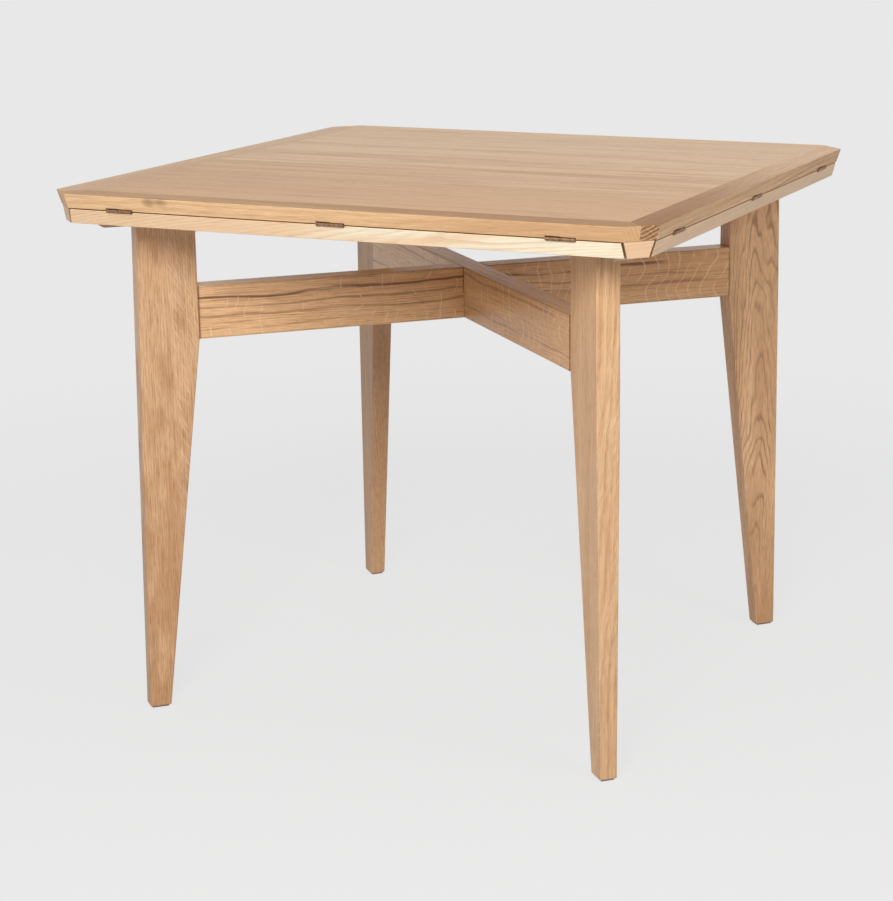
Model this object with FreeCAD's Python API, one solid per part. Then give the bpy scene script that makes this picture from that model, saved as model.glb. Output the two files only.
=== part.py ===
import FreeCAD, Part
import math
import os

# Swivel extending table in oak. Millimetres, +Z up, front edge towards -Y.
# The origin is on the floor under the centre of the top.

# Top board
table_height = 760.0
top_side = 880.0
corner_cut = 36.0
board_thickness = 20.0
edge_bevel = 6.0
lipping_width = 42.0
arris_ease = 0.8

# Leaves, folded away under the board
leaf_thickness = 20.0
seam_gap = 1.2
joint_gap = 0.6
leaf_rim_width = 32.0
block_gap = 2.3
block_length = 45.0
spacer_clearance = 3.2
hub_clearance = 1.5

# Edge hinges
hinges_per_edge = 3
hinge_inset = 84.0
hinge_length = 38.0
plate_width = 20.0
plate_thickness = 1.6
barrel_radius = 2.5
barrel_clearance = 0.5
swing_clearance = 1.2
knuckle_gap = 0.7
pin_radius = 1.4
pin_cap_radius = 2.1
pin_cap_length = 1.2
running_play = 0.05
pocket_clearance = 0.2
hinge_screw_spacing = 26.0
hinge_screw_offset = 12.0
hinge_screw_length = 14.0
hinge_screw_radius = 1.6
hinge_screw_head = 3.0

# Magnet catches
magnet_radius = 8.0
magnet_length = 6.0
magnet_setback = 45.0
strike_radius = 9.0
strike_thickness = 2.0

# Pivot between base and top
slide_clearance = 1.2
pad_thickness = 1.0
pad_radius = 11.0
bolt_radius = 5.0
bolt_head_flats = 17.0
bolt_head_height = 6.4
washer_radius = 12.0
washer_thickness = 2.0
bush_radius = 8.0
insert_radius = 8.0
insert_length = 16.0
swivel_washer_radius = 30.0
swivel_angle = 45.0
peg_radius = 3.0
peg_drop = 18.0
peg_depth = 12.0
peg_wall = 2.5
stop_gap = 0.2
frame_screw_length = 34.0
frame_screw_radius = 2.2
frame_screw_head = 4.4
hub_screws = 4
hub_screw_circle = 32.0
spacer_screw_margin = 90.0
fit_gap = 0.1

# Base
bearer_width = 28.0
bearer_depth = 22.0
bearer_seat = 9.0
arm_overhang = 54.0
arm_tip_depth = 6.0
arm_tip_slope = 10.0
leg_inset = 99.0
leg_splay = 12.0
leg_width = 83.0
leg_thickness = 34.0
foot_width = 31.0
foot_thickness = 25.0
leg_ease = 2.0
foot_ease = 2.5
glide_thickness = 1.4
glide_margin = 1.0
rail_drop = 90.1
rail_height = 75.0
rail_thickness = 36.0
rail_ease = 1.5
tenon_length = 34.0
tenon_thickness = 12.0
tenon_shoulder = 9.0
tenon_clearance = 0.2
lap_clearance = 0.1
bearer_screw_length = 60.0
bearer_screw_radius = 3.0
bearer_screw_head = 5.6
bearer_screw_spacing = 52.0

# Heights of the layers
half = top_side / 2
slope = edge_bevel / board_thickness
board_under = table_height - board_thickness
leaf_upper = board_under - seam_gap
leaf_under = leaf_upper - leaf_thickness
hinge_height = board_under - seam_gap / 2
bearer_top = leaf_under - slide_clearance
spacer_under = bearer_top + pad_thickness
leg_top = bearer_top - bearer_seat
bearer_under = bearer_top - bearer_depth
rail_top = leg_top - rail_drop
rail_under = rail_top - rail_height

SIDES = {side: 90 * i for i, side in enumerate(["front", "right", "back", "left"])}
CORNERS = {corner: 90 * i - 45
           for i, corner in enumerate(["front_right", "back_right", "back_left", "front_left"])}
UP = FreeCAD.Vector(0, 0, 1)
ORIGIN = FreeCAD.Vector(0, 0, 0)
nodes = {}


def vec(x, y, z):
    return FreeCAD.Vector(x, y, z)


def outline(points, z):
    corners = [vec(x, y, z) for x, y in points]
    return Part.makePolygon(corners + corners[:1])


def prism(points, low, high):
    return Part.Face(outline(points, low)).extrude(vec(0, 0, high - low))


def taper(low_points, low, high_points, high):
    return Part.makeLoft([outline(low_points, low), outline(high_points, high)], True, True)


def block(x0, x1, y0, y1, z0, z1):
    return Part.makeBox(x1 - x0, y1 - y0, z1 - z0, vec(x0, y0, z0))


def rod(radius, start, end):
    along = end - start
    return Part.makeCylinder(radius, along.Length, start, along)


def turned(shape, degrees):
    copy = shape.copy()
    copy.rotate(ORIGIN, UP, degrees)
    return copy


def eased(solid, radius):
    return solid.makeFillet(radius, solid.Edges)


def cut_all(solid, tools):
    return solid.cut(Part.makeCompound(tools))


def csk_screw(head, shank, length, grow=0.0):
    # countersunk screw pointing down, its flat head at the origin
    cone = head - shank
    profile = [vec(0, 0, 0), vec(head + grow, 0, 0), vec(shank + grow, 0, -cone),
               vec(shank + grow, 0, -length - grow), vec(0, 0, -length - grow)]
    return Part.Face(Part.makePolygon(profile + profile[:1])).revolve(ORIGIN, UP, 360)


def placed(shape, x, y, z, points_up=False):
    copy = shape.copy()
    if points_up:
        copy.rotate(ORIGIN, vec(1, 0, 0), 180)
    copy.translate(vec(x, y, z))
    return copy


# Edge planes: every edge leans in by the same slope, measured down from the top face
def edge_out(z):
    return half - (table_height - z) * slope


def corner_sum(z):
    return top_side - corner_cut - (table_height - z) * slope * math.sqrt(2)


def corner_reach(z):
    return corner_sum(z) / math.sqrt(2)


def octagon(z):
    out = edge_out(z)
    end = corner_sum(z) - out
    return [(end, -out), (out, -end), (out, end), (end, out),
            (-end, out), (-out, end), (-out, -end), (-end, -out)]


hinge_out = (edge_out(board_under) + joint_gap + edge_out(leaf_upper)) / 2
edge_half = half - corner_cut
hinge_reach = edge_half - hinge_inset
hinge_places = [hinge_reach * (2 * i / (hinges_per_edge - 1) - 1) for i in range(hinges_per_edge)]


# Leaf planes: the open leaf carries on the line of the cut corners, and is turned over about its hinge
def opened(z):
    return 2 * hinge_height - z


def leaf_front(z):
    return 2 * hinge_out - edge_out(opened(z)) - joint_gap


def leaf_side(z):
    return corner_sum(opened(z)) - 2 * hinge_out


def strip_half(z):
    return -leaf_side(z) / math.sqrt(2)


def leaf_corner_reach(z):
    return leaf_front(z) * math.sqrt(2) - strip_half(z)


peg_place = (bearer_width / 2 + peg_radius + stop_gap) / math.sin(math.radians(swivel_angle / 2))
hub_radius = peg_place + peg_radius + peg_wall
spacer_half = strip_half(leaf_under) - spacer_clearance
block_in = leaf_corner_reach(board_under) - block_length
leg_out = corner_reach(table_height) - leg_inset
leg_in = leg_out - leg_width
leg_mid = (leg_out + leg_in) / 2


def leaf_outline(z):
    front = leaf_front(z)
    tip = hub_radius + hub_clearance + (z - leaf_under) * slope
    wide = front + leaf_side(z)
    narrow = tip + leaf_side(z)
    return [(-wide, -front), (wide, -front), (narrow, -tip), (-narrow, -tip)]


rail_line = half - lipping_width
rim_line = -leaf_side(leaf_upper) + leaf_rim_width * math.sqrt(2)
magnet_out = rim_line + magnet_setback

hinge_screw = csk_screw(hinge_screw_head, hinge_screw_radius, hinge_screw_length)
hinge_screw_hole = csk_screw(hinge_screw_head, hinge_screw_radius, hinge_screw_length, fit_gap)
frame_screw = csk_screw(frame_screw_head, frame_screw_radius, frame_screw_length)
frame_screw_hole = csk_screw(frame_screw_head, frame_screw_radius, frame_screw_length, fit_gap)
bearer_screw = csk_screw(bearer_screw_head, bearer_screw_radius, bearer_screw_length)
bearer_screw_hole = csk_screw(bearer_screw_head, bearer_screw_radius, bearer_screw_length, fit_gap)


# Hinges of the front edge; the other edges are turned copies
barrel_half = hinge_length / 2


def barrel(x0, x1, radius):
    return rod(radius, vec(x0, -hinge_out, hinge_height), vec(x1, -hinge_out, hinge_height))


def hinge_half(x, knuckle, low, high):
    inner = -hinge_out + barrel_radius + barrel_clearance
    plate = block(x - barrel_half, x + barrel_half, inner, -hinge_out + plate_width, low, high)
    bridge = block(x + knuckle[0], x + knuckle[1], -hinge_out, inner, low, high)
    bore = barrel(x - hinge_length, x + hinge_length, pin_radius + running_play)
    solid = plate.fuse([bridge, barrel(x + knuckle[0], x + knuckle[1], barrel_radius)])
    return solid.removeSplitter().cut(bore)


def hinge_pin(x):
    left = barrel(x - barrel_half - pin_cap_length, x - barrel_half, pin_cap_radius)
    right = barrel(x + barrel_half, x + barrel_half + pin_cap_length, pin_cap_radius)
    return barrel(x - barrel_half, x + barrel_half, pin_radius).fuse([left, right]).removeSplitter()


def barrel_groove(x):
    reach = barrel_half + pin_cap_length + barrel_clearance
    return barrel(x - reach, x + reach, barrel_radius + barrel_clearance)


# Room in the board over the knuckle that turns with the leaf
def swing_room(x):
    start = x + moving_knuckle[0] - pin_cap_length - barrel_clearance
    return barrel(start, x + moving_knuckle[1], barrel_radius + swing_clearance)


def plate_pocket(x, low, high):
    reach = barrel_half + pocket_clearance
    inner = -hinge_out + plate_width + pocket_clearance
    return block(x - reach, x + reach, -hinge_out, inner, low, high)


def screw_places(x):
    return [x - hinge_screw_spacing / 2, x + hinge_screw_spacing / 2]


def edge_screws(screw, height, points_up):
    across = -hinge_out + hinge_screw_offset
    return [placed(screw, x, across, height, points_up) for h in hinge_places for x in screw_places(h)]


fixed_knuckle = (knuckle_gap / 2, barrel_half)
moving_knuckle = (-barrel_half, -knuckle_gap / 2)
top_pocket = board_under + plate_thickness
leaf_pocket = leaf_upper - plate_thickness
top_plates = [hinge_half(x, fixed_knuckle, board_under, top_pocket) for x in hinge_places]
leaf_plates = [hinge_half(x, moving_knuckle, leaf_pocket, leaf_upper) for x in hinge_places]
top_screw_holes = edge_screws(hinge_screw_hole, board_under, True)
leaf_screw_holes = edge_screws(hinge_screw_hole, leaf_upper, False)
top_plates = [cut_all(plate, top_screw_holes) for plate in top_plates]
leaf_plates = [cut_all(plate, leaf_screw_holes) for plate in leaf_plates]
top_screws = edge_screws(hinge_screw, board_under, True)
leaf_screws = edge_screws(hinge_screw, leaf_upper, False)
pins = [hinge_pin(x) for x in hinge_places]

top_cuts = [plate_pocket(x, board_under - seam_gap, top_pocket) for x in hinge_places]
leaf_cuts = [plate_pocket(x, leaf_pocket, leaf_upper + seam_gap) for x in hinge_places]
grooves = [barrel_groove(x) for x in hinge_places]
rooms = [swing_room(x) for x in hinge_places]


# Top board: a panel inside four mitred lippings
whole_board = taper(octagon(board_under), board_under, octagon(table_height), table_height)
whole_board = eased(whole_board, arris_ease)
panel = block(-rail_line, rail_line, -rail_line, rail_line, board_under, table_height)
quarter = prism([(0, 0), (-top_side, -top_side), (top_side, -top_side)], board_under, table_height)
lipping = cut_all(whole_board.common(quarter).cut(panel), top_cuts + grooves + rooms + top_screw_holes)
for side, angle in SIDES.items():
    nodes["lipping_" + side] = turned(lipping, angle)

strike_upper = board_under + strike_thickness
strike = rod(strike_radius, vec(0, -magnet_out, board_under), vec(0, -magnet_out, strike_upper))
strikes = [turned(strike, angle) for angle in SIDES.values()]
hub_angles = [360 / hub_screws * i for i in range(hub_screws)]
spacer_start = hub_radius + fit_gap
spacer_places = [spacer_start + spacer_screw_margin, block_in - spacer_screw_margin]


def hub_set(screw):
    return [turned(placed(screw, hub_screw_circle, 0, spacer_under, True), angle) for angle in hub_angles]


def spacer_set(screw, angle):
    return [turned(placed(screw, u, 0, spacer_under, True), angle) for u in spacer_places]


spacer_holes = [hole for angle in CORNERS.values() for hole in spacer_set(frame_screw_hole, angle)]
nodes["top_panel"] = cut_all(panel, strikes + hub_set(frame_screw_hole) + spacer_holes)
nodes["catch_strikes"] = Part.makeCompound(strikes)

# Pieces in the strips between the folded leaves
for corner, angle in CORNERS.items():
    low_half = strip_half(leaf_under) - block_gap
    high_half = strip_half(board_under) - block_gap
    low_out = leaf_corner_reach(leaf_under)
    high_out = leaf_corner_reach(board_under)
    low = [(block_in, -low_half), (low_out, -low_half), (low_out, low_half), (block_in, low_half)]
    high = [(block_in, -high_half), (high_out, -high_half), (high_out, high_half), (block_in, high_half)]
    corner_block = eased(taper(low, leaf_under, high, board_under), arris_ease)
    nodes["corner_block_" + corner] = turned(corner_block, angle)
    spacer = block(spacer_start, block_in, -spacer_half, spacer_half, spacer_under, board_under)
    nodes["spacer_" + corner] = cut_all(turned(spacer, angle), spacer_set(frame_screw_hole, angle))

hub = rod(hub_radius, vec(0, 0, spacer_under), vec(0, 0, board_under))
insert = rod(insert_radius, vec(0, 0, spacer_under), vec(0, 0, spacer_under + insert_length))
bolt_hole = rod(bolt_radius + running_play, vec(0, 0, bearer_under - bearer_depth), vec(0, 0, board_under))
peg_low = spacer_under - peg_drop
peg_high = spacer_under + peg_depth
peg = rod(peg_radius, vec(peg_place, 0, peg_low), vec(peg_place, 0, peg_high))
peg = turned(peg, CORNERS["back_right"] + swivel_angle / 2)
nodes["swivel_hub"] = cut_all(hub, [insert, peg] + hub_set(frame_screw_hole))
nodes["pivot_insert"] = insert.cut(bolt_hole)
nodes["stop_peg"] = peg
spacer_screws = [screw for angle in CORNERS.values() for screw in spacer_set(frame_screw, angle)]
nodes["top_frame_screws"] = Part.makeCompound(hub_set(frame_screw) + spacer_screws)

washer_under = bearer_under - washer_thickness
head_corner = bolt_head_flats / math.sqrt(3)
hexagon = [(head_corner * math.cos(math.radians(60 * i)), head_corner * math.sin(math.radians(60 * i)))
           for i in range(6)]
bolt_head = prism(hexagon, washer_under - bolt_head_height, washer_under)
bolt_shank = rod(bolt_radius, vec(0, 0, washer_under), vec(0, 0, spacer_under + insert_length))
nodes["pivot_bolt"] = bolt_head.fuse(bolt_shank).removeSplitter()
nodes["pivot_washer"] = rod(washer_radius, vec(0, 0, washer_under), vec(0, 0, bearer_under)).cut(bolt_hole)

# Fixed halves of the hinges
nodes["hinge_plates_top"] = Part.makeCompound([turned(p, a) for a in SIDES.values() for p in top_plates])
nodes["hinge_pins"] = Part.makeCompound([turned(p, a) for a in SIDES.values() for p in pins])
nodes["hinge_screws_top"] = Part.makeCompound([turned(s, a) for a in SIDES.values() for s in top_screws])

# Leaves: a rail along the hinges, a mitred rim on the two slanted sides and a panel between them
whole_leaf = taper(leaf_outline(leaf_under), leaf_under, leaf_outline(leaf_upper), leaf_upper)
whole_leaf = eased(whole_leaf, arris_ease)
panel_half = rail_line - rim_line
field_corners = [(-panel_half, -rail_line), (panel_half, -rail_line), (0, -rim_line)]
leaf_field = prism(field_corners, leaf_under, leaf_upper)
magnet_low = leaf_upper - magnet_length
magnet = rod(magnet_radius, vec(0, -magnet_out, magnet_low), vec(0, -magnet_out, leaf_upper))
hinge_zone = block(-half, half, -half, -rail_line, leaf_under, leaf_upper)
left_zone = block(-half, 0, -rail_line, 0, leaf_under, leaf_upper)
right_zone = block(0, half, -rail_line, 0, leaf_under, leaf_upper)
leaf_rail = cut_all(whole_leaf.common(hinge_zone), leaf_cuts + grooves + leaf_screw_holes)
leaf_rims = [whole_leaf.common(zone).cut(leaf_field) for zone in (left_zone, right_zone)]
for side, angle in SIDES.items():
    nodes["leaf_rail_" + side] = turned(leaf_rail, angle)
    nodes["leaf_rim_" + side] = Part.makeCompound([turned(rim, angle) for rim in leaf_rims])
    nodes["leaf_panel_" + side] = turned(leaf_field.cut(magnet), angle)
    nodes["leaf_magnet_" + side] = turned(magnet, angle)
    nodes["leaf_hinge_plates_" + side] = Part.makeCompound([turned(p, angle) for p in leaf_plates])
    nodes["leaf_hinge_screws_" + side] = Part.makeCompound([turned(s, angle) for s in leaf_screws])


# Base: bearers and rails run along the diagonals, drawn here along X
def soft_rectangle(x0, x1, y0, y1, z, radius):
    points = [vec(x0, y0, z), vec(x1, y0, z), vec(x1, y1, z), vec(x0, y1, z)]
    edges = []
    for i in range(4):
        back = (points[i - 1] - points[i]).normalize()
        ahead = (points[(i + 1) % 4] - points[i]).normalize()
        after = (points[i] - points[(i + 1) % 4]).normalize()
        start = points[i] + back * radius
        end = points[i] + ahead * radius
        middle = points[i] + (back + ahead) * radius * (1 - math.sqrt(0.5))
        edges.append(Part.Arc(start, middle, end).toShape())
        edges.append(Part.LineSegment(end, points[(i + 1) % 4] + after * radius).toShape())
    return Part.Wire(edges)


def leg_section(z, inner, outer, thickness):
    return soft_rectangle(inner, outer, -thickness / 2, thickness / 2, z, leg_ease)


foot_out = leg_out + leg_splay
bend_out = foot_out - leg_splay * rail_under / leg_top
foot_in = foot_out - foot_width
sole_thickness = foot_thickness - 2 * foot_ease
leg_sections = [leg_section(glide_thickness, foot_in + foot_ease, foot_out - foot_ease, sole_thickness),
                leg_section(glide_thickness + foot_ease, foot_in, foot_out, foot_thickness),
                leg_section(rail_under, leg_in, bend_out, leg_thickness),
                leg_section(leg_top, leg_in, leg_out, leg_thickness)]
mortise_half = tenon_thickness / 2 + tenon_clearance
mortise = block(leg_in - leg_width, leg_in + tenon_length + tenon_clearance, -mortise_half, mortise_half,
                rail_under + tenon_shoulder - tenon_clearance, rail_top - tenon_shoulder + tenon_clearance)
bearer_screw_places = [leg_mid - bearer_screw_spacing / 2, leg_mid + bearer_screw_spacing / 2]


def bearer_set(screw):
    return [placed(screw, u, 0, bearer_top) for u in bearer_screw_places]


leg = cut_all(Part.makeLoft(leg_sections, True, True), [mortise] + bearer_set(bearer_screw_hole))
glide_inset = foot_ease + glide_margin
glide_half = foot_thickness / 2 - glide_inset
glide = block(foot_in + glide_inset, foot_out - glide_inset, -glide_half, glide_half, 0, glide_thickness)
pad = rod(pad_radius, vec(leg_mid, 0, bearer_top), vec(leg_mid, 0, spacer_under))
for corner, angle in CORNERS.items():
    nodes["leg_" + corner] = turned(leg, angle)
nodes["foot_glides"] = Part.makeCompound([turned(glide, angle) for angle in CORNERS.values()])
nodes["slide_pads"] = Part.makeCompound([turned(pad, angle) for angle in CORNERS.values()])
base_screws = [turned(s, angle) for angle in CORNERS.values() for s in bearer_set(bearer_screw)]
nodes["bearer_screws"] = Part.makeCompound(base_screws)

# Crossed stretcher rails with stub tenons, half lapped at the centre
bar = block(-leg_in, leg_in, -rail_thickness / 2, rail_thickness / 2, rail_under, rail_top)
long_edges = [edge for edge in bar.Edges if abs(edge.Length - 2 * leg_in) < fit_gap]
bar = bar.makeFillet(rail_ease, long_edges)
tenon_reach = leg_in + tenon_length
tenon = block(-tenon_reach, tenon_reach, -tenon_thickness / 2, tenon_thickness / 2,
              rail_under + tenon_shoulder, rail_top - tenon_shoulder)
rail = bar.fuse(tenon).removeSplitter()
rail_lap = rail_thickness / 2 + lap_clearance
rail_mid = (rail_top + rail_under) / 2
upper_lap = block(-rail_lap, rail_lap, -rail_thickness, rail_thickness, rail_mid, rail_top)
lower_lap = block(-rail_lap, rail_lap, -rail_thickness, rail_thickness, rail_under, rail_mid)
nodes["stretcher_left"] = turned(rail.cut(upper_lap), CORNERS["back_right"])
nodes["stretcher_right"] = turned(rail.cut(lower_lap), CORNERS["front_right"])

# Crossed bearers: notched over the legs, thin arms beyond them, half lapped at the centre
tip = leg_out + arm_overhang
side_profile = [(leg_in, bearer_under), (leg_in, leg_top), (leg_out, leg_top),
                (tip - arm_tip_slope, leg_top), (tip, leg_top + arm_tip_depth), (tip, bearer_top)]
bearer_points = side_profile + [(-u, z) for u, z in reversed(side_profile)]
corners = [vec(u, -bearer_width / 2, z) for u, z in bearer_points]
bearer = Part.Face(Part.makePolygon(corners + corners[:1])).extrude(vec(0, bearer_width, 0))
bush_space = rod(bush_radius, vec(0, 0, bearer_under), vec(0, 0, bearer_top))
far_screw_holes = [turned(hole, 180) for hole in bearer_set(bearer_screw_hole)]
bearer = cut_all(bearer, [bush_space] + bearer_set(bearer_screw_hole) + far_screw_holes)
bearer_lap = bearer_width / 2 + lap_clearance
bearer_mid = (bearer_top + bearer_under) / 2
upper_notch = block(-bearer_lap, bearer_lap, -bearer_width, bearer_width, bearer_mid, bearer_top)
lower_notch = block(-bearer_lap, bearer_lap, -bearer_width, bearer_width, bearer_under, bearer_mid)
nodes["bearer_left"] = turned(bearer.cut(upper_notch), CORNERS["back_right"])
nodes["bearer_right"] = turned(bearer.cut(lower_notch), CORNERS["front_right"])
nodes["pivot_bush"] = bush_space.cut(bolt_hole)
swivel_washer = rod(swivel_washer_radius, vec(0, 0, bearer_top), vec(0, 0, spacer_under))
nodes["swivel_washer"] = swivel_washer.cut(bolt_hole)

os.makedirs("parts", exist_ok=True)
for name, shape in nodes.items():
    shape.exportStep("parts/" + name + ".step")
    print(name, len(shape.Solids), round(shape.Volume), shape.isValid())
print(len(nodes), "nodes")
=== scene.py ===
import math
import bpy
import numpy as np
from mathutils import Matrix, Vector


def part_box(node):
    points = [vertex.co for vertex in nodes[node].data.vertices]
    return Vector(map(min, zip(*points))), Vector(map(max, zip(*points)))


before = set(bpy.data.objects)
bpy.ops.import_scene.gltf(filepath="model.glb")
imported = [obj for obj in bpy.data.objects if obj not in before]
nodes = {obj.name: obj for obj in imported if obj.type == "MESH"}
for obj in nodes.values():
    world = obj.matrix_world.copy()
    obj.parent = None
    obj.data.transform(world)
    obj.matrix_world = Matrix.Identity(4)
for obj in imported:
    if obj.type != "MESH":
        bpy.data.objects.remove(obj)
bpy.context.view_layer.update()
scene = bpy.context.scene
scene.view_settings.view_transform = "Standard"

metre = 1000                                                           # mm
up = Vector((0, 0, 1))
sideTurns = {"front": 0, "right": 90, "back": 180, "left": 270}          # degrees about the upright axis
cornerTurns = {"front_right": -45, "back_right": 45, "back_left": 135, "front_left": 225}


def linear(red, green, blue):                                          # 0-255 screen colour to linear light
    screen = np.array([red, green, blue]) / 255
    light = np.where(screen <= 0.04045, screen / 12.92, ((screen + 0.055) / 1.055) ** 2.4)
    return (*light.tolist(), 1.0)


def heading(degrees):                                                  # level unit vector, turned from +X
    return Vector((math.cos(math.radians(degrees)), math.sin(math.radians(degrees)), 0))


# Small helpers for node trees: a socket is linked, a plain value is set
def feed(tree, socket, value):
    if isinstance(value, bpy.types.NodeSocket):
        tree.links.new(value, socket)
    else:
        socket.default_value = value


def calc(tree, operation, *terms):
    step = tree.nodes.new("ShaderNodeMath")
    step.operation = operation
    for socket, term in zip(step.inputs, terms):
        feed(tree, socket, term)
    return step.outputs[0]


def arrow(tree, operation, *terms):                                    # the same for vectors
    step = tree.nodes.new("ShaderNodeVectorMath")
    step.operation = operation
    for socket, term in zip(step.inputs, terms):
        feed(tree, socket, term)
    return step.outputs["Value" if operation in ("DOT_PRODUCT", "LENGTH") else "Vector"]


def ease(tree, value, low, high, start=0.0, end=1.0):                  # smooth step from low to high
    step = tree.nodes.new("ShaderNodeMapRange")
    step.interpolation_type = "SMOOTHSTEP"
    for socket, term in zip(step.inputs, (value, low, high, start, end)):
        feed(tree, socket, term)
    return step.outputs[0]


def tint(tree, share, first, second, blend="MIX"):                     # from first to second by the share
    step = tree.nodes.new("ShaderNodeMix")
    step.data_type = "RGBA"
    step.blend_type = blend
    feed(tree, step.inputs[0], share)
    feed(tree, step.inputs[6], first)
    feed(tree, step.inputs[7], second)
    return step.outputs[2]


def cloud(tree, place, size, detail=2.0):                              # noise with grains of size (x, y, z)
    fit = tree.nodes.new("ShaderNodeMapping")
    fit.inputs["Scale"].default_value = [1 / extent for extent in size]
    feed(tree, fit.inputs["Vector"], place)
    noise = tree.nodes.new("ShaderNodeTexNoise")
    noise.inputs["Scale"].default_value = 1.0
    noise.inputs["Detail"].default_value = detail
    feed(tree, noise.inputs["Vector"], fit.outputs[0])
    return noise.outputs[0]


def bundle(tree, *parts):                                              # three numbers as one vector
    step = tree.nodes.new("ShaderNodeCombineXYZ")
    for socket, part in zip(step.inputs, parts):
        feed(tree, socket, part)
    return step.outputs[0]


def newMaterial(name):
    material = bpy.data.materials.new(name)
    material.use_nodes = True
    tree = material.node_tree
    return material, tree, tree.nodes["Principled BSDF"]


def objectPlace(tree):
    return tree.nodes.new("ShaderNodeTexCoord").outputs["Object"]


def dress(node, material):
    slots = nodes[node].material_slots
    if not slots:
        nodes[node].data.materials.append(material)
    for slot in slots:
        slot.material = material


# Oak as a solid: growth rings are cylinders round a pith line, in millimetres along (u), across (v) and
# through (w) the board, so faces, edges and ends all show the cut that such a board has there.
oakBase = {
    "tones": ((235, 193, 148), (222, 178, 133), (176, 120, 72)),       # late wood, drift, early wood
    "streakTone": (142, 88, 46),
    "veinTone": (94, 50, 23),
    "poreTone": (120, 68, 30),
    "fleckTone": (248, 216, 176),      # each depth below is a share from 0 to 1
    "ringWidth": 3.6,                  # mm from one ring to the next
    "pithAway": 110,                   # mm from the board's centre to the pith
    "sawn": 35,                        # degrees: 0 flat sawn, 90 quarter sawn
    "lean": 1.2,                       # degrees between the pith line and the board
    "wander": 8.0,                     # mm that the rings wave
    "waveSize": (430, 75),             # mm from one wave to the next, along and across
    "ringDepth": 0.3,
    "ringStart": 0.12,                 # share of a ring over which the early wood sets in
    "ringFade": 0.75,                  # and where it has faded again
    "streakSize": (300, 4.5),          # mm along and across the grain
    "streakEdge": (0.48, 0.78),        # noise at which a streak starts and is full
    "streakDepth": 0.25,
    "veins": (),                       # long dark lines: mm across from the middle, width in mm, depth
    "veinSway": 11,                    # mm that they sway to each side
    "veinSlope": 0.0,                  # how much fuller they get per metre along the board
    "fibreDepth": 0.36,
    "poreDepth": 0.32,
    "fleckStep": 26,                   # mm from one ray fleck to the next along the grain
    "fleckBend": 2.2,                  # turns of that step by which the flecks wave
    "fleckWidth": 0.065,               # share of that step
    "fleckDepth": 0.0,
    "fleckSlope": 0.0,                 # how much fuller they get per metre along the board
    "dashSize": (18, 1.8, 1.8),        # mm along, across and through the board
    "dashLean": 0.4,                   # mm across for each mm along
    "dashZone": None,                  # mm across from the middle where dashes start and are full
    "dashSlope": 0.0,                  # how much fuller they get per metre along the board
    "dashDepth": 0.0,
    "endRays": None,                   # pale lines on the end grain: mm from one to the next, depth
    "marks": (),                       # dark spots: their place in mm in the part's frame, mm wide, depth
    "paintedArrisShade": None,                     # painted shade along the arrises: mm wide, depth
    "driftSlope": 0.0,                 # drift gained per metre along the board, on some boards painted light and shade
    "paintedSheenAcross": 0.0,                # and per metre across it, painted sheen
    "mottle": 0.0,                     # drift that comes in clouds
    "facePaintedLight": None,                  # red, green and blue share of the broad face, or one for each end: painted sheen, light and shade
    "edgePaintedSheen": None,                  # the same for the narrow edges, painted sheen and light
    "endTint": None,                   # and for the end grain
    "tintReach": 420,                  # mm from the middle to where an end has its own share
    "rough": 0.42,
    "shine": 0.5,                      # strength of the sheen
    "sanded": 0.8,                     # mm radius of the eased edges
    "relief": 0.3,                     # mm that the pores lie deep
    "reliefShare": 0.35,               # how much of that the light shows
}
logStep = 730                          # mm along the log from one board to the next
figureSize = {                         # mm along, across and through the board
    "wave": (130, 14, 14),
    "ringPatch": (260, 16, 16),
    "pore": (13, 0.9, 0.9),
    "fibre": (34, 1.2, 1.2),
    "drift": (600, 34, 34),
    "mottle": (75, 26, 26),
    "dashPatch": (130, 16, 16),
    "veinSway": (160, 60, 60),
    "veinBreak": (110, 9, 9),
    "endSway": (9, 9, 9),
}


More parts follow.
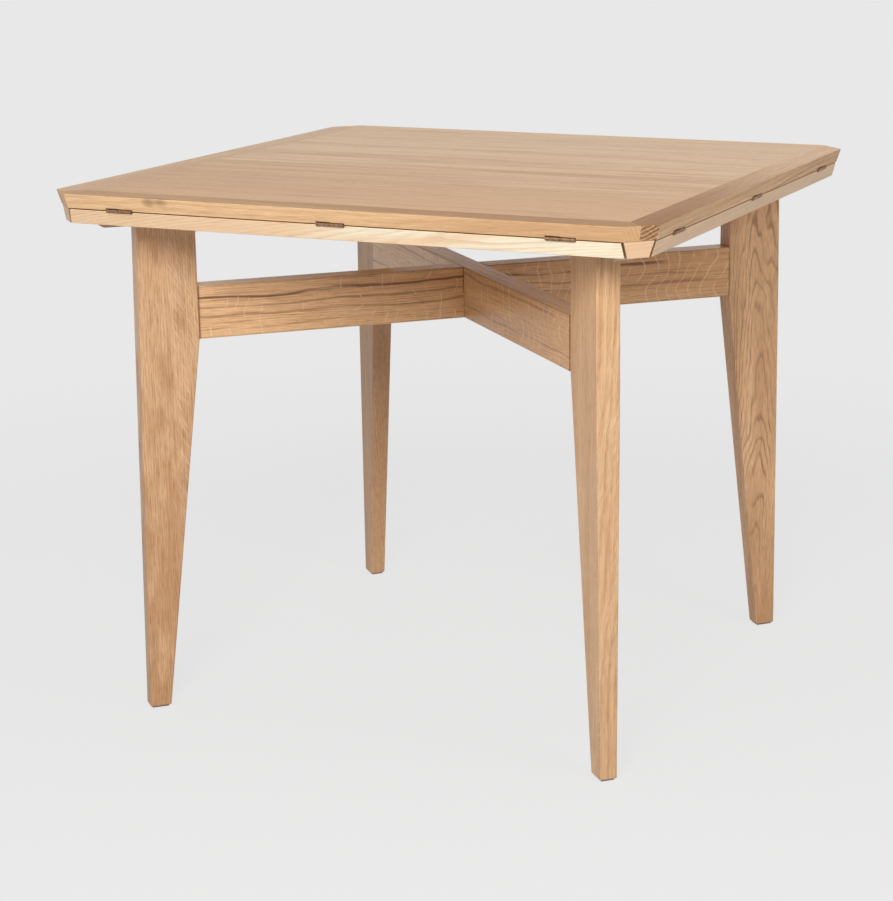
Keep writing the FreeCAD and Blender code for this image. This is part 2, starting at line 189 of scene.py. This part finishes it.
def oakBoard(node, grain, face, look, seed, mirror=None):
    finish = {**oakBase, **look}
    material, tree, shader = newMaterial("oak_" + node)
    along = Vector(grain).normalized()
    through = Vector(face).normalized()
    axes = Matrix((along, through.cross(along), through))
    leaning = Matrix.Rotation(math.radians(finish["lean"]), 3, "Y") @ axes
    low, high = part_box(node)
    middle = leaning @ ((low + high) / 2 * metre)
    sawn = math.radians(finish["sawn"])
    start = logStep * seed
    fromPith = Vector((start, math.sin(sawn) * finish["pithAway"], math.cos(sawn) * finish["pithAway"]))
    spot = objectPlace(tree)
    if mirror:                         # the half behind the mirror is cut as the one before it
        behind = calc(tree, "MINIMUM", arrow(tree, "DOT_PRODUCT", spot, mirror), 0.0)
        turned = arrow(tree, "SCALE", mirror)
        feed(tree, turned.node.inputs["Scale"], calc(tree, "MULTIPLY", behind, -2.0))
        spot = arrow(tree, "ADD", spot, turned)
    log = tree.nodes.new("ShaderNodeMapping")
    log.inputs["Scale"].default_value = (metre, metre, metre)
    log.inputs["Rotation"].default_value = leaning.to_euler("XYZ")
    log.inputs["Location"].default_value = fromPith - middle
    feed(tree, log.inputs["Vector"], spot)
    place = log.outputs[0]
    split = tree.nodes.new("ShaderNodeSeparateXYZ")
    feed(tree, split.inputs[0], place)
    u, v, w = split.outputs

    # distance from the pith, waved by slow and by quick noise
    squares = calc(tree, "ADD", calc(tree, "MULTIPLY", v, v), calc(tree, "MULTIPLY", w, w))
    radius = calc(tree, "SQRT", squares)
    waveLong, waveWide = finish["waveSize"]
    slow = calc(tree, "SUBTRACT", cloud(tree, place, (waveLong, waveWide, waveWide)), 0.5)
    quick = calc(tree, "SUBTRACT", cloud(tree, place, figureSize["wave"]), 0.5)
    waved = calc(tree, "MULTIPLY_ADD", slow, 2 * finish["wander"], radius)
    waved = calc(tree, "MULTIPLY_ADD", quick, 0.35 * finish["wander"], waved)

    # early wood starts sharply at each ring and fades outwards
    turn = calc(tree, "FRACT", calc(tree, "DIVIDE", waved, finish["ringWidth"]))
    setsIn = ease(tree, turn, 0.0, finish["ringStart"])
    fades = ease(tree, turn, finish["ringStart"], finish["ringFade"], 1.0, 0.0)
    early = calc(tree, "MULTIPLY", setsIn, fades)
    uneven = ease(tree, cloud(tree, place, figureSize["ringPatch"]), 0.3, 0.7, 0.25, 1.0)
    early = calc(tree, "MULTIPLY", early, uneven)

    # pores are short dashes along the grain, thickest in the early wood, and fibres are longer, fainter
    pores = ease(tree, cloud(tree, place, figureSize["pore"], 1.0), 0.52, 0.68)
    pores = calc(tree, "MULTIPLY", pores, calc(tree, "MULTIPLY_ADD", early, 0.65, 0.35))
    fibres = ease(tree, cloud(tree, place, figureSize["fibre"], 3.0), 0.35, 0.7)
    onward = calc(tree, "SUBTRACT", u, start)                          # mm along from the board's middle
    across = calc(tree, "SUBTRACT", v, fromPith.y)                     # mm across from it
    drift = cloud(tree, place, figureSize["drift"])
    drift = calc(tree, "MULTIPLY_ADD", onward, finish["driftSlope"] / metre, drift)
    drift = calc(tree, "MULTIPLY_ADD", across, finish["paintedSheenAcross"] / metre, drift)
    if finish["mottle"]:
        clouds = calc(tree, "SUBTRACT", cloud(tree, place, figureSize["mottle"], 3.0), 0.5)
        drift = calc(tree, "MULTIPLY_ADD", clouds, finish["mottle"], drift)
    drift = ease(tree, drift, 0.3, 0.7)
    lengthways, sideways = finish["streakSize"]
    streaks = ease(tree, cloud(tree, place, (lengthways, sideways, sideways), 4.0), *finish["streakEdge"])

    # rays are thin sheets that run out from the pith: on a quarter sawn face they show as waving lines
    # across the grain, a step apart, broken into lengths
    flecks = 0.0
    if finish["fleckDepth"]:
        step = finish["fleckStep"]
        swing = calc(tree, "MULTIPLY", calc(tree, "ARCTAN2", w, v), finish["pithAway"])
        ray = bundle(tree, u, radius, swing)
        bend = cloud(tree, ray, (5.0 * step, 2.4 * step, 40), 0.5)
        phase = calc(tree, "MULTIPLY_ADD", bend, 2 * finish["fleckBend"], calc(tree, "DIVIDE", u, step))
        width = finish["fleckWidth"]
        line = ease(tree, calc(tree, "PINGPONG", phase, 0.5), 0.3 * width, width, 1.0, 0.0)
        broken = cloud(tree, ray, (1.1 * step, 1.3 * step, 6))
        broken = calc(tree, "MULTIPLY_ADD", onward, finish["fleckSlope"] / metre, broken)
        broken = ease(tree, broken, 0.44, 0.56)
        flecks = calc(tree, "MULTIPLY", calc(tree, "MULTIPLY", line, broken), finish["fleckDepth"])
    if finish["dashDepth"]:            # between flat and quarter sawn the rays are short leaning dashes
        leaned = bundle(tree, u, calc(tree, "MULTIPLY_ADD", u, finish["dashLean"], v),
                        calc(tree, "MULTIPLY_ADD", u, finish["dashLean"], w))
        dashes = cloud(tree, leaned, finish["dashSize"], 1.0)
        dashes = ease(tree, dashes, 0.5, 0.68, 0.0, finish["dashDepth"])
        patchy = cloud(tree, place, figureSize["dashPatch"])
        patchy = calc(tree, "MULTIPLY_ADD", onward, finish["dashSlope"] / metre, patchy)
        dashes = calc(tree, "MULTIPLY", dashes, ease(tree, patchy, 0.36, 0.56))
        if finish["dashZone"]:
            dashes = calc(tree, "MULTIPLY", dashes, ease(tree, across, *finish["dashZone"]))
        flecks = calc(tree, "MAXIMUM", flecks, dashes)

    late, mid, dark = (linear(*tone) for tone in finish["tones"])
    colour = tint(tree, drift, late, mid)
    colour = tint(tree, calc(tree, "MULTIPLY", early, finish["ringDepth"]), colour, dark)
    streaks = calc(tree, "MULTIPLY", streaks, finish["streakDepth"])
    colour = tint(tree, streaks, colour, linear(*finish["streakTone"]))
    for offset, width, depth in finish["veins"]:
        sway = cloud(tree, place, figureSize["veinSway"], 3.0)
        sway = calc(tree, "MULTIPLY_ADD", sway, 2 * finish["veinSway"], v)
        away = calc(tree, "SUBTRACT", sway, fromPith.y + finish["veinSway"] + offset)
        vein = ease(tree, calc(tree, "ABSOLUTE", away), 0.2 * width, width, depth, 0.0)
        broken = cloud(tree, place, figureSize["veinBreak"], 3.0)
        broken = calc(tree, "MULTIPLY_ADD", onward, finish["veinSlope"] / metre, broken)
        vein = calc(tree, "MULTIPLY", vein, ease(tree, broken, 0.3, 0.52))
        colour = tint(tree, vein, colour, linear(*finish["veinTone"]))
    colour = tint(tree, calc(tree, "MULTIPLY", fibres, finish["fibreDepth"]), colour, dark)
    stained = calc(tree, "MULTIPLY", pores, finish["poreDepth"])
    colour = tint(tree, stained, colour, linear(*finish["poreTone"]))
    if finish["fleckDepth"] or finish["dashDepth"]:
        colour = tint(tree, flecks, colour, linear(*finish["fleckTone"]))
    for spotPlace, wide, depth in finish["marks"]:
        offset = arrow(tree, "SUBTRACT", place, leaning @ Vector(spotPlace) + fromPith - middle)
        offset = arrow(tree, "MULTIPLY", offset, (0.7, 1.0, 1.0))
        away = calc(tree, "MULTIPLY_ADD", quick, wide, arrow(tree, "LENGTH", offset))
        mark = ease(tree, away, 0.1 * wide, wide, depth, 0.0)
        colour = tint(tree, mark, colour, linear(*finish["veinTone"]))
    # the face and edge shares paint sheen, light and shade onto those faces; the end share is the darker
    # end grain
    for key, axis in (("facePaintedLight", through), ("edgePaintedSheen", through.cross(along)), ("endTint", along)):
        if finish[key]:                # which surface it is, is told by the way it faces
            normal = tree.nodes.new("ShaderNodeTexCoord").outputs["Normal"]
            facing = calc(tree, "ABSOLUTE", arrow(tree, "DOT_PRODUCT", normal, axis))
            facing = ease(tree, facing, 0.5, 0.7)
            share = finish[key]
            if len(share) == 2:
                towards = ease(tree, onward, -finish["tintReach"], finish["tintReach"])
                share = tint(tree, towards, (*share[0], 1.0), (*share[1], 1.0))
            else:
                share = (*share, 1.0)
            colour = tint(tree, facing, colour, share, "MULTIPLY")
            if key == "endTint" and finish["endRays"]:
                step, depth = finish["endRays"]
                swing = calc(tree, "MULTIPLY", calc(tree, "ARCTAN2", w, v), finish["pithAway"] / step)
                swing = calc(tree, "ADD", swing, cloud(tree, place, figureSize["endSway"]))
                rays = ease(tree, calc(tree, "PINGPONG", swing, 0.5), 0.08, 0.2, depth, 0.0)
                rays = calc(tree, "MULTIPLY", rays, facing)
                colour = tint(tree, rays, colour, linear(*finish["fleckTone"]))

    eased = tree.nodes.new("ShaderNodeBevel")                          # edges are eased by a light sanding
    eased.samples = 4
    eased.inputs["Radius"].default_value = finish["sanded"] / metre
    if finish["paintedArrisShade"]:                # a rounded normal leaves the flat one only beside an edge between faces, where painted shade darkens the colour
        wide, depth = finish["paintedArrisShade"]
        rounded = tree.nodes.new("ShaderNodeBevel")
        rounded.samples = 8
        rounded.inputs["Radius"].default_value = wide / metre
        flat = tree.nodes.new("ShaderNodeNewGeometry").outputs["True Normal"]
        paintedArrisShade = ease(tree, arrow(tree, "DOT_PRODUCT", rounded.outputs[0], flat), 0.84, 0.99, depth, 0.0)
        colour = tint(tree, paintedArrisShade, colour, linear(*finish["veinTone"]))
    feed(tree, shader.inputs["Base Color"], colour)

    rough = calc(tree, "MULTIPLY_ADD", pores, 0.2, finish["rough"])
    feed(tree, shader.inputs["Roughness"], rough)
    shader.inputs["Specular IOR Level"].default_value = finish["shine"]
    relief = calc(tree, "MULTIPLY_ADD", early, -0.3, calc(tree, "MULTIPLY", pores, -1.0))
    bump = tree.nodes.new("ShaderNodeBump")
    bump.inputs["Strength"].default_value = finish["reliefShare"]
    bump.inputs["Distance"].default_value = finish["relief"] / metre
    feed(tree, bump.inputs["Height"], relief)
    feed(tree, bump.inputs["Normal"], eased.outputs[0])
    feed(tree, shader.inputs["Normal"], bump.outputs[0])
    dress(node, material)


# Top: a veneered panel inside four solid lippings, the front and right ones with less sheen and darker
# tops, painted shade
# the panel's tone runs lighter towards the back and darker towards the front: painted sheen
panelLook = {"tones": ((236, 202, 163), (211, 168, 125), (176, 126, 80)), "paintedSheenAcross": -0.9,
             "ringWidth": 6.0, "pithAway": 600, "sawn": 62, "lean": 0.3, "streakSize": (190, 7),
             "streakDepth": 0.3, "streakEdge": (0.52, 0.66), "fibreDepth": 0.26, "rough": 0.46}
lippingLook = {"tones": ((247, 206, 160), (235, 191, 145), (196, 144, 95)), "pithAway": 140, "sawn": 62,
               "ringDepth": 0.28, "streakDepth": 0.18, "poreDepth": 0.2, "rough": 0.48}
sideLipping = {**lippingLook, "tones": ((238, 199, 156), (222, 179, 134), (176, 124, 79)),
               "ringWidth": 5.0, "ringDepth": 0.4}
# The lippings' face shares are painted light: the front top darker, painted shade; the right top dark at
# its front end and pale, bluish at its back, painted reflection; the back and left tops paler and bluish
# towards the back, painted sheen. The front one also darkens towards its right end, painted shade.
lippingLooks = {
    "front": {**lippingLook, "tones": ((248, 207, 161), (222, 179, 136), (190, 138, 89)),
              "driftSlope": 0.9, "facePaintedLight": (0.62, 0.59, 0.58), "shine": 0.06,
              "marks": (((-272, -437, 754), 8, 0.4), ((-250, -437, 755), 8, 0.34),
                        ((-262, -437, 758), 12, 0.16))},
    "right": {**sideLipping, "tones": ((246, 210, 171), (230, 190, 149), (183, 133, 91)),
              "sawn": -62, "facePaintedLight": ((0.475, 0.4, 0.37), (1.08, 1.16, 1.32)), "shine": 0.03,
              "endTint": (0.4, 0.305, 0.225), "endRays": (4.2, 0.42)},
    "back": {**lippingLook, "facePaintedLight": (0.97, 1.03, 1.1)},
    "left": {**sideLipping, "facePaintedLight": ((0.98, 1.06, 1.18), (0.86, 0.86, 0.95))},
}
oakBoard("top_panel", (1, 0, 0), up, panelLook, 1)
for number, (side, turn) in enumerate(sideTurns.items()):
    oakBoard("lipping_" + side, heading(turn), up, lippingLooks[side], 2 + number)

# Leaves: paler rails along the hinges, their pale edges painted light and their broad faces toned down, and
# rims on the slanted sides
railLook = {"tones": ((255, 238, 209), (250, 220, 183), (208, 158, 108)), "pithAway": 60, "sawn": 58,
            "lean": 9, "wander": 9, "ringDepth": 0.34, "streakDepth": 0.08, "fibreDepth": 0.16,
            "poreDepth": 0.12, "facePaintedLight": (0.78, 0.62, 0.44), "endTint": (0.5, 0.4, 0.3)}
sideRail = {**railLook, "tones": ((241, 204, 164), (232, 192, 151), (202, 156, 112)), "lean": 3,
            "ringDepth": 0.24, "facePaintedLight": (0.9, 0.84, 0.74)}
railLooks = {
    # the front rail runs paler towards its right end: painted light
    "front": {**railLook, "tones": ((255, 242, 213), (248, 212, 172), (208, 156, 106)),
              "driftSlope": -0.9, "marks": (((265, -437, 736), 4, 0.7),)},
    "right": {**sideRail, "marks": (((437, -332, 733), 2.4, 0.7),)},
    "back": railLook,
    "left": sideRail,
}
rimLook = lippingLook
leafLook = {**panelLook, "paintedSheenAcross": 0.0}
for number, (side, turn) in enumerate(sideTurns.items()):
    oakBoard("leaf_panel_" + side, (1, 0, 0), up, leafLook, 6 + number)
    oakBoard("leaf_rail_" + side, heading(turn), up, railLooks[side], 10 + number)
    oakBoard("leaf_rim_" + side, heading(turn + 135), up, rimLook, 14 + number, mirror=heading(turn))

# Corner blocks, spacers and hub under the top
blockLook = {**railLook, "tones": ((234, 199, 162), (225, 188, 149), (198, 154, 110)), "lean": 3,
             "facePaintedLight": None}
for number, (corner, turn) in enumerate(cornerTurns.items()):
    oakBoard("corner_block_" + corner, heading(turn + 90), up, blockLook, 18 + number)
    oakBoard("spacer_" + corner, heading(turn), up, rimLook, 22 + number)
oakBoard("swivel_hub", (1, 0, 0), up, rimLook, 26)

# Legs, each from its own cut of log, and the crossed rails
legLooks = {
    "front_right": {"tones": ((236, 195, 150), (222, 179, 135), (168, 113, 67)), "sawn": 64,
                    "ringDepth": 0.44, "dashLean": -0.28, "dashSize": (22, 40, 1.0), "dashZone": (38, 41.2),
                    "dashSlope": 0.3, "dashDepth": 0.36, "paintedArrisShade": (5.5, 0.25)},
    # the back right leg runs paler towards its top: painted light that lifts the shade under the table top
    "back_right": {"tones": ((243, 197, 150), (209, 162, 117), (136, 82, 42)), "driftSlope": -0.5,
                   "sawn": -13, "pithAway": 50, "lean": -4, "wander": 12, "waveSize": (210, 46),
                   "ringWidth": 3.8, "ringFade": 0.4, "ringDepth": 0.66},
    "back_left": {"tones": ((222, 179, 136), (206, 161, 118), (162, 106, 61)), "sawn": 40},
    "front_left": {"tones": ((231, 188, 144), (207, 161, 117), (150, 94, 51)), "driftSlope": -0.5,
                   "mottle": 1.4, "sawn": 82, "ringDepth": 0.25, "fibreDepth": 0.44, "poreDepth": 0.46,
                   "dashLean": -0.5, "dashSize": (28, 1.3, 40), "dashZone": (12, -16), "dashDepth": 0.42},
}
for number, (corner, turn) in enumerate(cornerTurns.items()):
    oakBoard("leg_" + corner, up, heading(turn + 90), legLooks[corner], 27 + number)
# the stretchers' narrow edges are greyer and paler, painted sheen and light, on the top and bottom edges
# alike
stretcherLook = {"pithAway": 190, "sawn": 86, "ringWidth": 3.2, "streakSize": (110, 2.2),
                 "streakDepth": 0.6, "fibreDepth": 0.3, "poreDepth": 0.45, "fleckDepth": 0.55,
                 "fleckStep": 19, "fleckBend": 1.8, "paintedArrisShade": (5.5, 0.85), "edgePaintedSheen": (1.08, 1.24, 1.4),
                 "rough": 0.3}
stretcherLooks = {
    "left": {**stretcherLook, "tones": ((246, 200, 150), (226, 175, 124), (163, 107, 61)),
             "driftSlope": 0.7, "fleckSlope": 0.34,
             "veins": ((-21, 3.0, 0.85), (-6, 2.4, 0.5), (8, 2.6, 0.45)), "veinSlope": -0.3},
    "right": {**stretcherLook, "tones": ((244, 197, 145), (221, 170, 116), (160, 104, 58)),
              "driftSlope": 1.0, "veins": ((-24, 2.6, 0.5), (18, 2.0, 0.4))},
}
# the bearers greyer and darker than the rims: painted shade under the leaves
shadedBearerLook = {**rimLook, "tones": ((210, 184, 154), (196, 169, 139), (160, 124, 90))}
for number, (name, turn) in enumerate((("left", 45), ("right", -45))):
    oakBoard("stretcher_" + name, heading(turn), heading(turn + 90), stretcherLooks[name], 31 + number)
    oakBoard("bearer_" + name, heading(turn), heading(turn + 90), shadedBearerLook, 33 + number)
print("oak boards dressed")


# Fittings
speckSize = 0.0006                     # metres


def metal(name, tone, shade, rough, grain):
    material, tree, shader = newMaterial(name)
    patches = ease(tree, cloud(tree, objectPlace(tree), (grain, grain, grain), 3.0), 0.35, 0.65)
    feed(tree, shader.inputs["Base Color"], tint(tree, patches, linear(*tone), linear(*shade)))
    feed(tree, shader.inputs["Roughness"], calc(tree, "MULTIPLY_ADD", patches, 0.18, rough))
    shader.inputs["Metallic"].default_value = 1.0
    return material


def plastic(name, tone, shade, rough):
    material, tree, shader = newMaterial(name)
    specks = ease(tree, cloud(tree, objectPlace(tree), (speckSize, speckSize, speckSize)), 0.4, 0.6)
    feed(tree, shader.inputs["Base Color"], tint(tree, specks, linear(*tone), linear(*shade)))
    shader.inputs["Roughness"].default_value = rough
    return material


bronze = metal("hinge_bronze", (168, 134, 105), (134, 102, 77), 0.42, 0.004)
steel = metal("zinc_steel", (190, 188, 182), (160, 158, 152), 0.3, 0.006)
brass = metal("bush_brass", (206, 170, 98), (176, 138, 74), 0.3, 0.005)
nickel = metal("magnet_nickel", (200, 198, 194), (176, 174, 170), 0.22, 0.008)
glide = plastic("glide_dark", (46, 42, 39), (36, 33, 31), 0.6)
nylon = plastic("slide_nylon", (226, 222, 212), (216, 211, 199), 0.45)
fittings = {
    "hinge_plates_top": bronze, "hinge_pins": bronze, "hinge_screws_top": bronze,
    "top_frame_screws": steel, "bearer_screws": steel, "catch_strikes": steel, "pivot_bolt": steel,
    "pivot_washer": steel, "stop_peg": steel, "pivot_insert": brass, "pivot_bush": brass,
    "foot_glides": glide, "slide_pads": nylon, "swivel_washer": nylon,
}
for side in sideTurns:
    fittings["leaf_hinge_plates_" + side] = bronze
    fittings["leaf_hinge_screws_" + side] = bronze
    fittings["leaf_magnet_" + side] = nickel
for node, material in fittings.items():
    dress(node, material)
print("fittings dressed:", len(fittings))

# Floor: pale and even to the eye, lit only near the table, where its share of light keeps the shadow
floorLook = {"size": 60.0, "drop": 0.0003, "tone": (232, 232, 232), "litTone": (205, 205, 205),
             "litShare": 0.18, "litReach": (1.0, 2.4), "glow": 1.08, "rough": 0.9}


def seenShare(tree):                                                   # 1 for eye, metal and glass
    rays = tree.nodes.new("ShaderNodeLightPath").outputs
    mirrored = calc(tree, "ADD", rays["Is Glossy Ray"], rays["Is Transmission Ray"])
    return calc(tree, "MINIMUM", calc(tree, "ADD", rays["Is Camera Ray"], mirrored), 1.0)


def paleFloor(look):
    corners = np.array([(-1, -1), (1, -1), (1, 1), (-1, 1)]) * look["size"] / 2
    mesh = bpy.data.meshes.new("floor")
    mesh.from_pydata([(x, y, -look["drop"]) for x, y in corners], [], [(0, 1, 2, 3)])
    floor = bpy.data.objects.new("floor", mesh)
    scene.collection.objects.link(floor)
    material, tree, shader = newMaterial("floor_pale")
    shader.inputs["Base Color"].default_value = linear(*look["litTone"])
    shader.inputs["Roughness"].default_value = look["rough"]
    shader.inputs["Specular IOR Level"].default_value = 0.0
    glow = tree.nodes.new("ShaderNodeEmission")
    glow.inputs["Color"].default_value = linear(*look["tone"])
    reach = arrow(tree, "LENGTH", objectPlace(tree))
    lit = ease(tree, reach, *look["litReach"], look["litShare"], 0.0)
    share = calc(tree, "MULTIPLY", seenShare(tree), calc(tree, "SUBTRACT", 1.0, lit))
    feed(tree, glow.inputs["Strength"], ease(tree, reach, *look["litReach"], look["glow"], 1.0))
    mix = tree.nodes.new("ShaderNodeMixShader")
    feed(tree, mix.inputs[0], share)
    feed(tree, mix.inputs[1], shader.outputs[0])
    feed(tree, mix.inputs[2], glow.outputs[0])
    feed(tree, tree.nodes["Material Output"].inputs["Surface"], mix.outputs[0])
    mesh.materials.append(material)


paleFloor(floorLook)

# Light: soft boxes in front, on both sides and overhead, and an even room
lampLook = {
    "front": {"turn": 15, "raise": 28, "away": 3.2, "size": 1.1, "power": 63},
    "right": {"turn": 70, "raise": 25, "away": 3.2, "size": 1.2, "power": 22},
    "left": {"turn": -60, "raise": 12, "away": 3.2, "size": 1.8, "power": 5},
    "above": {"turn": 0, "raise": 90, "away": 2.8, "size": 2.5, "power": 14},
}
roomLook = {"tone": (255, 255, 255), "seenTone": (232, 232, 232), "strength": 0.3}
lampAim = Vector((0, 0, 0.6))


def softBox(name, look):                                               # turn is from the front, towards +X
    lamp = bpy.data.lights.new(name, "AREA")
    lamp.shape = "SQUARE"
    lamp.size = look["size"]
    lamp.energy = look["power"]
    holder = bpy.data.objects.new(name, lamp)
    rise = math.radians(look["raise"])
    outwards = heading(look["turn"] - 90) * math.cos(rise) + up * math.sin(rise)
    holder.location = lampAim + outwards * look["away"]
    holder.rotation_mode = "QUATERNION"
    holder.rotation_quaternion = (-outwards).to_track_quat("-Z", "Y")
    scene.collection.objects.link(holder)


for name, look in lampLook.items():
    softBox(name, look)


def evenRoom(look):
    world = bpy.data.worlds.new("room")
    world.use_nodes = True
    scene.world = world
    tree = world.node_tree
    seen = seenShare(tree)
    shade = tree.nodes["Background"]
    feed(tree, shade.inputs["Color"], tint(tree, seen, linear(*look["tone"]), linear(*look["seenTone"])))
    strength = calc(tree, "MULTIPLY_ADD", seen, 1 - look["strength"], look["strength"])
    feed(tree, shade.inputs["Strength"], strength)


evenRoom(roomLook)
print("floor and lights set")

# Camera: where the photograph was taken from
cameraLook = {"place": (1.3705, -2.9889, 1.1857), "turn": 24.425, "down": 15.48, "roll": -0.509,
              "lens": 91.11, "shift": (-0.0388, 0.0436)}


def photoCamera(look):
    camera = bpy.data.cameras.new("camera")
    camera.sensor_fit = "HORIZONTAL"
    camera.sensor_width = 36
    camera.lens = look["lens"]
    camera.shift_x, camera.shift_y = look["shift"]
    holder = bpy.data.objects.new("camera", camera)
    scene.collection.objects.link(holder)
    turn, down, roll = (math.radians(look[key]) for key in ("turn", "down", "roll"))
    aim = Matrix.Rotation(turn, 4, "Z") @ Matrix.Rotation(math.pi / 2 - down, 4, "X")
    aim = aim @ Matrix.Rotation(roll, 4, "Z")
    holder.matrix_world = Matrix.Translation(look["place"]) @ aim
    scene.camera = holder


photoCamera(cameraLook)
